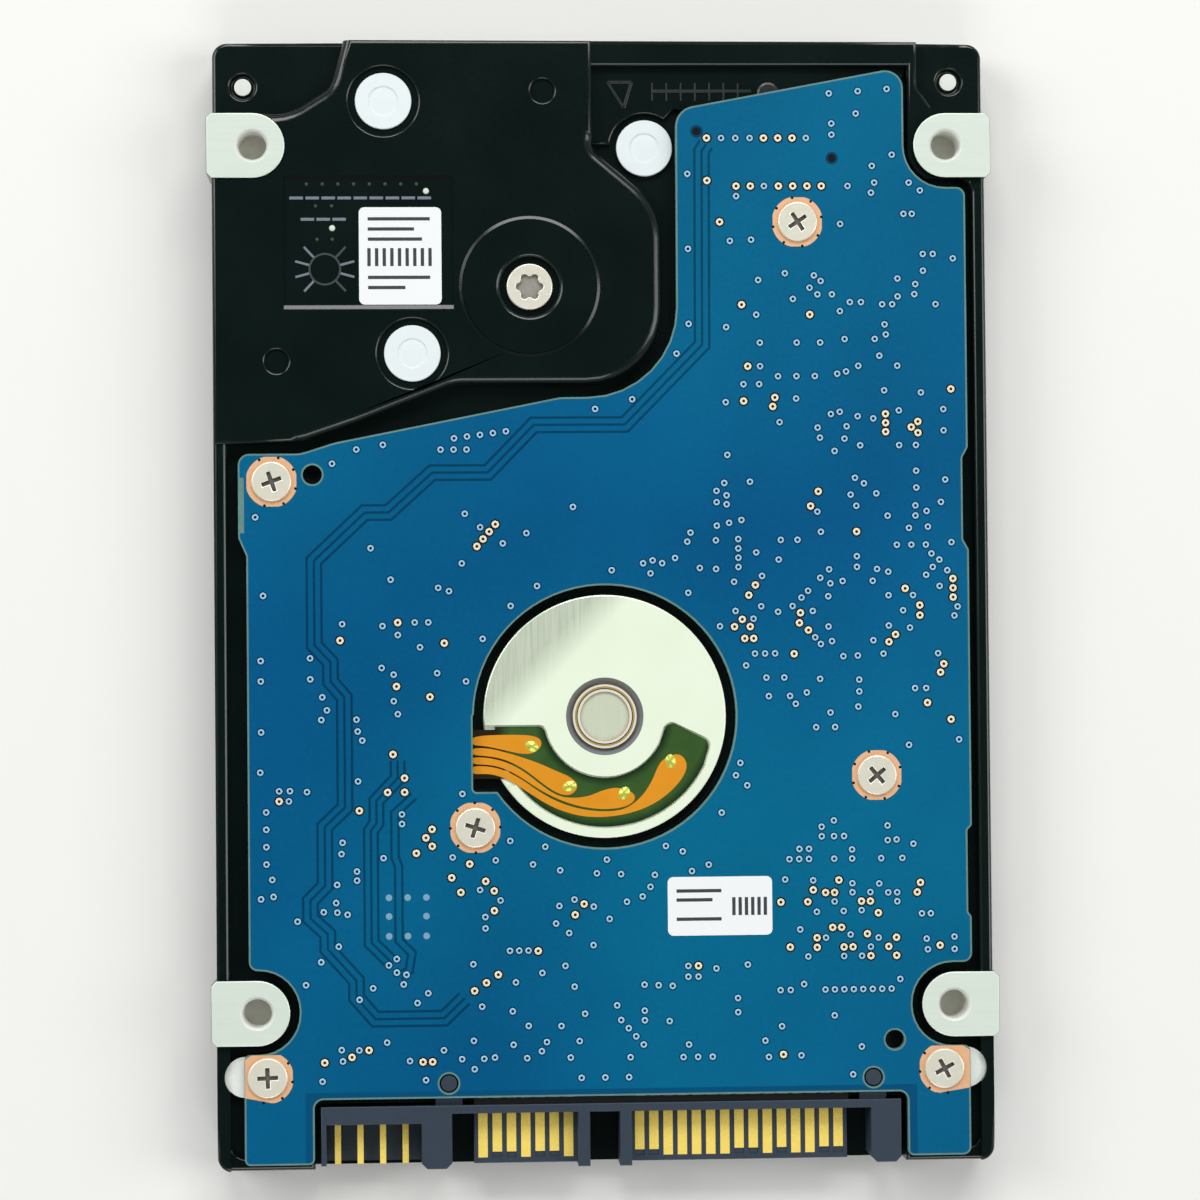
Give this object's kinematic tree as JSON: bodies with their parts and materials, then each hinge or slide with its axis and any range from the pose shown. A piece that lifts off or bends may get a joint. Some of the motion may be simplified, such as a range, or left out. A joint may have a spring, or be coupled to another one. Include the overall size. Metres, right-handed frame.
{
  "type": "hard disk drive",
  "caption": "Flat hard disk drive: black casting, blue circuit board, edge connector and steel cover, with a disk that spins and a head arm that swings inside.",
  "frame": {"origin": "centre of the footprint, at the outer face of the cover that the drive lies on", "axes": "+X across the drive to the right of the board side, +Y from the connector end to the rear, +Z from the cover to the mounting pads"},
  "size_m": [0.0698, 0.1, 0.007],
  "materials": {
    "cast_black": "black semi-gloss paint on a die casting",
    "cover_sheet": "stamped sheet, fine matte",
    "rubber_black": "moulded rubber",
    "screw_steel": "plated steel",
    "filter_white": "fibre felt",
    "board_blue": "laminate under blue solder mask",
    "film_black": "thin film",
    "connector_slate": "moulded plastic, slate grey",
    "contact_gold": "gold-plated",
    "chip_black": "moulded package",
    "passive_tan": "ceramic with tinned ends",
    "plug_ivory": "moulded plastic, ivory",
    "plug_black": "moulded plastic, black",
    "flange_metal": "turned",
    "flex_orange": "polyimide film",
    "sleeve_brass": "turned",
    "bright_steel": "ground",
    "core_steel": "laminated sheet",
    "winding_copper": "enamelled wire",
    "yoke_nickel": "nickel plated",
    "magnet_nickel": "nickel plated magnet",
    "light_alloy": "machined",
    "disk_mirror": "polished",
    "spring_steel": "rolled sheet",
    "head_grey": "ceramic",
    "seal_white": "printed film, white",
    "label_white": "paper"
  },
  "bodies": {
    "base": {"base_casting": "cast_black", "top_cover": "cover_sheet", "cover_gasket": "rubber_black", "cover_screws": "screw_steel", "breather_filter": "filter_white", "circuit_board": "board_blue", "insulator_sheet": "film_black", "board_screws": "screw_steel", "connector_housing": "connector_slate", "signal_contacts": "contact_gold", "power_contacts": "contact_gold", "jumper_pins": "contact_gold", "controller_chip": "chip_black", "memory_chip": "chip_black", "motor_driver_chip": "chip_black", "board_passives": "passive_tan", "head_connector": "plug_ivory", "motor_connector": "plug_ivory", "motor_flange": "flange_metal", "motor_flex": "flex_orange", "bearing_sleeve": "sleeve_brass", "bearing_cap": "bright_steel", "stator_core": "core_steel", "stator_coils": "winding_copper", "pivot_shaft": "bright_steel", "pivot_screw": "screw_steel", "lower_yoke": "yoke_nickel", "upper_yoke": "yoke_nickel", "coil_magnet": "magnet_nickel", "yoke_posts": "bright_steel", "yoke_screws": "screw_steel", "crash_stops": "rubber_black", "load_ramp": "plug_ivory", "inner_screws": "screw_steel", "recirculation_filter": "filter_white", "desiccant_pack": "filter_white", "flex_bracket": "light_alloy", "bulkhead_connector": "plug_black", "flex_loop": "flex_orange", "hole_seals": "seal_white", "serial_label": "label_white", "board_label": "label_white", "latch_pin": "bright_steel"},
    "rotor": {"spindle_hub": "light_alloy", "spindle_shaft": "bright_steel", "thrust_plate": "bright_steel", "rotor_magnet": "magnet_nickel", "disk": "disk_mirror", "disk_clamp": "light_alloy", "clamp_screw": "screw_steel"},
    "actuator": {"arm_block": "light_alloy", "pivot_sleeve": "bright_steel", "pivot_balls": "bright_steel", "voice_coil": "winding_copper", "coil_frame": "plug_black", "suspensions": "spring_steel", "read_heads": "head_grey", "arm_flex": "flex_orange", "preamp_chip": "chip_black"},
    "latch": {"latch_lever": "plug_black"}
  },
  "joints": [
    {"name": "spindle_spin", "type": "hinge", "parent": "base", "child": "rotor", "pos_m": [0, -0.01016, 0.00252], "axis": [0, 0, 1], "continuous": true},
    {"name": "actuator_swing", "type": "hinge", "parent": "base", "child": "actuator", "pos_m": [-0.00639, 0.02806, 0.00252], "axis": [0, 0, -1], "range_deg": [0, 34], "deforming": ["flex_loop"]},
    {"name": "latch_rock", "type": "hinge", "parent": "base", "child": "latch", "pos_m": [-0.02416, 0.02412, 0.00252], "axis": [0, 0, -1], "range_deg": [0, 12]}
  ]
}
